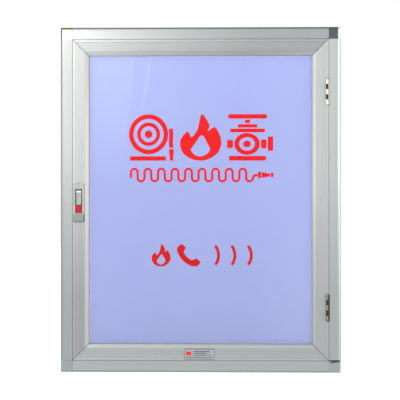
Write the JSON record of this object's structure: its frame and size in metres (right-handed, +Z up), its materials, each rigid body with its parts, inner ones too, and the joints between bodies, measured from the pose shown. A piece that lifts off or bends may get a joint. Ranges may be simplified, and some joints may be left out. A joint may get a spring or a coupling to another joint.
{
  "type": "standpipe cabinet",
  "caption": "Wall-hung fire hydrant cabinet: sheet-steel box, mitred aluminium frame, glazed door with push latch, landing valve, hose cradle, nozzle and call point.",
  "frame": {"origin": "centre of the four wall bolt holes, on the outer face of the back panel", "axes": "+X to the right of someone facing the door, +Y into the wall, +Z up"},
  "size_m": [0.65, 0.244, 0.8],
  "materials": {
    "frame_aluminium": "satin anodised extrusion",
    "corner_casting": "satin pale blue-grey coated casting",
    "door_aluminium": "satin anodised extrusion",
    "box_paint": "semi-matt powder coat on sheet steel",
    "hinge_bright": "bright steel",
    "hinge_dark": "blackened steel",
    "zinc_fixings": "zinc plated",
    "glass": "clear float glass",
    "backing_blue": "plain lavender-blue film",
    "gasket_rubber": "black rubber",
    "seal_foam": "closed-cell foam",
    "plate_silver": "thin brushed plate",
    "latch_silver": "satin silver die casting",
    "latch_case_metal": "black coated casting",
    "button_red": "gloss red",
    "spring_steel": "spring wire",
    "valve_red": "red painted cast iron",
    "valve_brass": "machined brass",
    "galvanised": "galvanised pipe",
    "coupling_aluminium": "cast and machined",
    "cradle_wire": "red powder-coated wire",
    "call_red": "moulded red",
    "call_black": "moulded black",
    "call_white": "moulded white"
  },
  "bodies": {
    "cabinet": {"frame_bottom": "frame_aluminium", "frame_left": "frame_aluminium", "frame_top": "frame_aluminium", "frame_right": "frame_aluminium", "corner_blocks": "corner_casting", "frame_rivets": "zinc_fixings", "side_panel_left": "box_paint", "side_panel_right": "box_paint", "top_panel": "box_paint", "bottom_panel": "box_paint", "back_panel": "box_paint", "hinge_leaves_frame": "hinge_bright", "hinge_pins": "zinc_fixings", "door_seal": "seal_foam", "latch_keeper": "zinc_fixings", "inlet_socket": "galvanised", "inlet_nipple": "galvanised", "inlet_grommet": "gasket_rubber", "valve_body": "valve_red", "valve_seat": "valve_brass", "valve_bonnet": "valve_red", "valve_gland_nut": "valve_brass", "outlet_coupling": "coupling_aluminium", "outlet_seal": "gasket_rubber", "hose_cradle": "cradle_wire", "kit_fixings": "zinc_fixings", "nozzle_clips": "zinc_fixings", "call_point_base": "call_black", "call_point_cover": "call_red", "cable_gland": "valve_brass"},
    "door": {"door_rail_bottom": "door_aluminium", "door_rail_top": "door_aluminium", "door_stile_left": "door_aluminium", "door_stile_right": "door_aluminium", "door_corner_keys": "zinc_fixings", "door_fixings": "zinc_fixings", "glass_pane": "glass", "backing_sheet": "backing_blue", "glazing_gasket": "gasket_rubber", "rating_plate": "plate_silver", "hinge_leaves_door": "hinge_dark", "latch_housing": "latch_silver", "latch_case": "latch_case_metal", "latch_lever_pin": "zinc_fixings", "latch_button_spring": "spring_steel", "latch_bolt_spring": "spring_steel"},
    "latch_lever": {"latch_lever": "latch_silver"},
    "latch_button": {"latch_button": "button_red"},
    "latch_bolt": {"latch_bolt": "zinc_fixings"},
    "valve_disc": {"valve_disc": "valve_brass", "valve_disc_rubber": "gasket_rubber"},
    "handwheel": {"handwheel": "valve_red", "valve_stem": "valve_brass", "handwheel_nut": "zinc_fixings"},
    "nozzle": {"nozzle_barrel": "coupling_aluminium", "nozzle_tip": "valve_brass", "nozzle_coupling": "coupling_aluminium", "nozzle_seal": "gasket_rubber"},
    "call_point_plate": {"call_point_plate": "call_white"}
  },
  "joints": [
    {"name": "door_hinge", "type": "hinge", "parent": "cabinet", "child": "door", "pos_m": [0.2934, -0.2418, 0], "axis": [0, 0, 1], "range_deg": [0, 165]},
    {"name": "lever_pull", "type": "hinge", "parent": "door", "child": "latch_lever", "pos_m": [-0.2827, -0.2355, 0.017], "axis": [-1, 0, 0], "range_deg": [0, 38], "stiffness_Nm_per_rad": 0.31, "springref_deg": -17.19},
    {"name": "button_press", "type": "slide", "parent": "door", "child": "latch_button", "axis": [0, 1, 0], "range_m": [0, 0.003], "stiffness_N_per_m": 900, "springref_m": -0.002, "deforming": ["latch_button_spring"]},
    {"name": "bolt_slide", "type": "slide", "parent": "door", "child": "latch_bolt", "axis": [1, 0, 0], "range_m": [0, 0.0095], "deforming": ["latch_bolt_spring"]},
    {"name": "stem_lift", "type": "slide", "parent": "cabinet", "child": "valve_disc", "axis": [0, 0, 1], "range_m": [0, 0.025]},
    {"name": "handwheel_turn", "type": "hinge", "parent": "valve_disc", "child": "handwheel", "pos_m": [-0.185, -0.1012, -0.152], "axis": [0, 0, 1], "range_deg": [0, 1800]},
    {"name": "nozzle_unclip", "type": "slide", "parent": "cabinet", "child": "nozzle", "axis": [0, -1, 0], "range_m": [0, 0.06]},
    {"name": "call_press", "type": "slide", "parent": "cabinet", "child": "call_point_plate", "axis": [0, 1, 0], "range_m": [0, 0.0015], "stiffness_N_per_m": 2500, "springref_m": -0.001}
  ],
  "couplings": [
    {"joint": "stem_lift", "follows": "handwheel_turn", "m_per_rad": 0.00079577},
    {"joint": "bolt_slide", "follows": "lever_pull", "m_per_rad": 0.01432}
  ]
}
